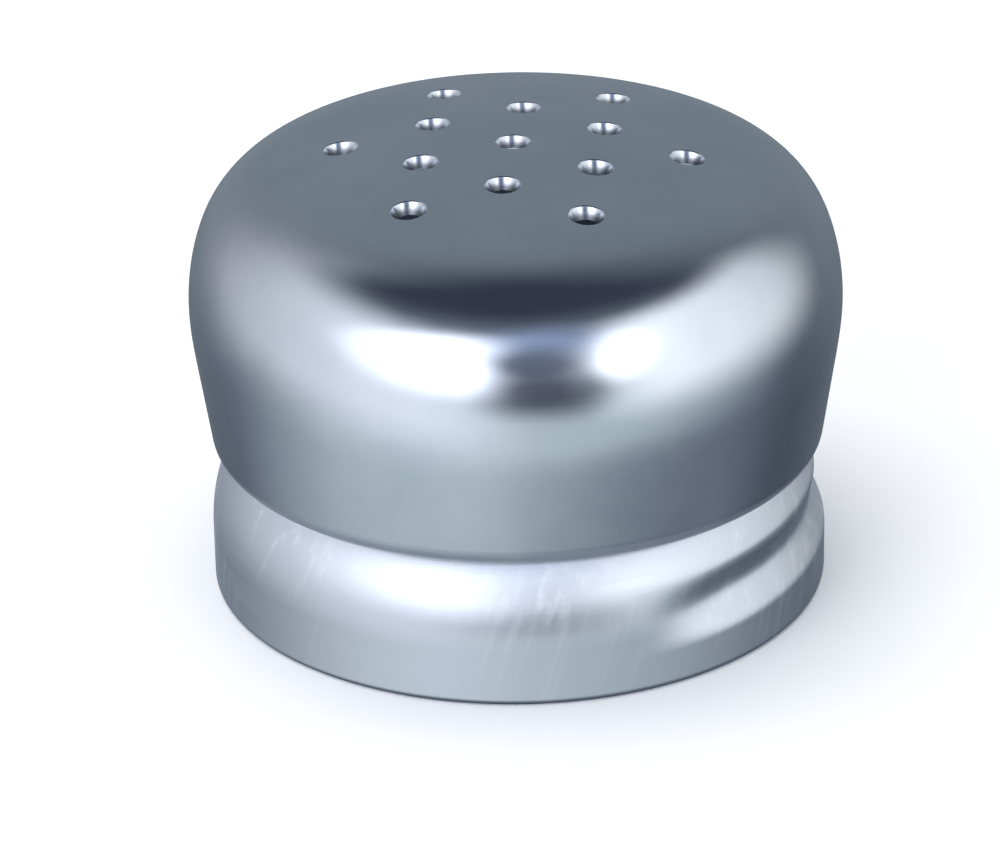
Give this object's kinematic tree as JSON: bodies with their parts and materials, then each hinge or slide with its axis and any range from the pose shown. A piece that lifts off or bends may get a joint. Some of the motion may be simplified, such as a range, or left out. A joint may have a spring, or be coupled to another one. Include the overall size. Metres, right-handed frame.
{
  "type": "shaker screw cap",
  "caption": "Mushroom-top pressed steel screw cap for a table shaker: domed top with punched pour holes, rolled-thread collar below and a gasket ring inside.",
  "frame": {"origin": "centre of the open rim, in the plane that the rim rests on", "axes": "+Z along the cap's axis, up through the crown; +X along one of the outer ring's holes; the thread starts at the front right and climbs anticlockwise seen from above"},
  "size_m": [0.0378, 0.0378, 0.0269],
  "materials": {
    "polished_steel": "polished",
    "satin_steel": "satin, brushed round",
    "gasket": "matte"
  },
  "bodies": {
    "root": {"perforated_dome": "polished_steel", "threaded_collar": "satin_steel", "sealing_gasket": "gasket"}
  },
  "joints": []
}
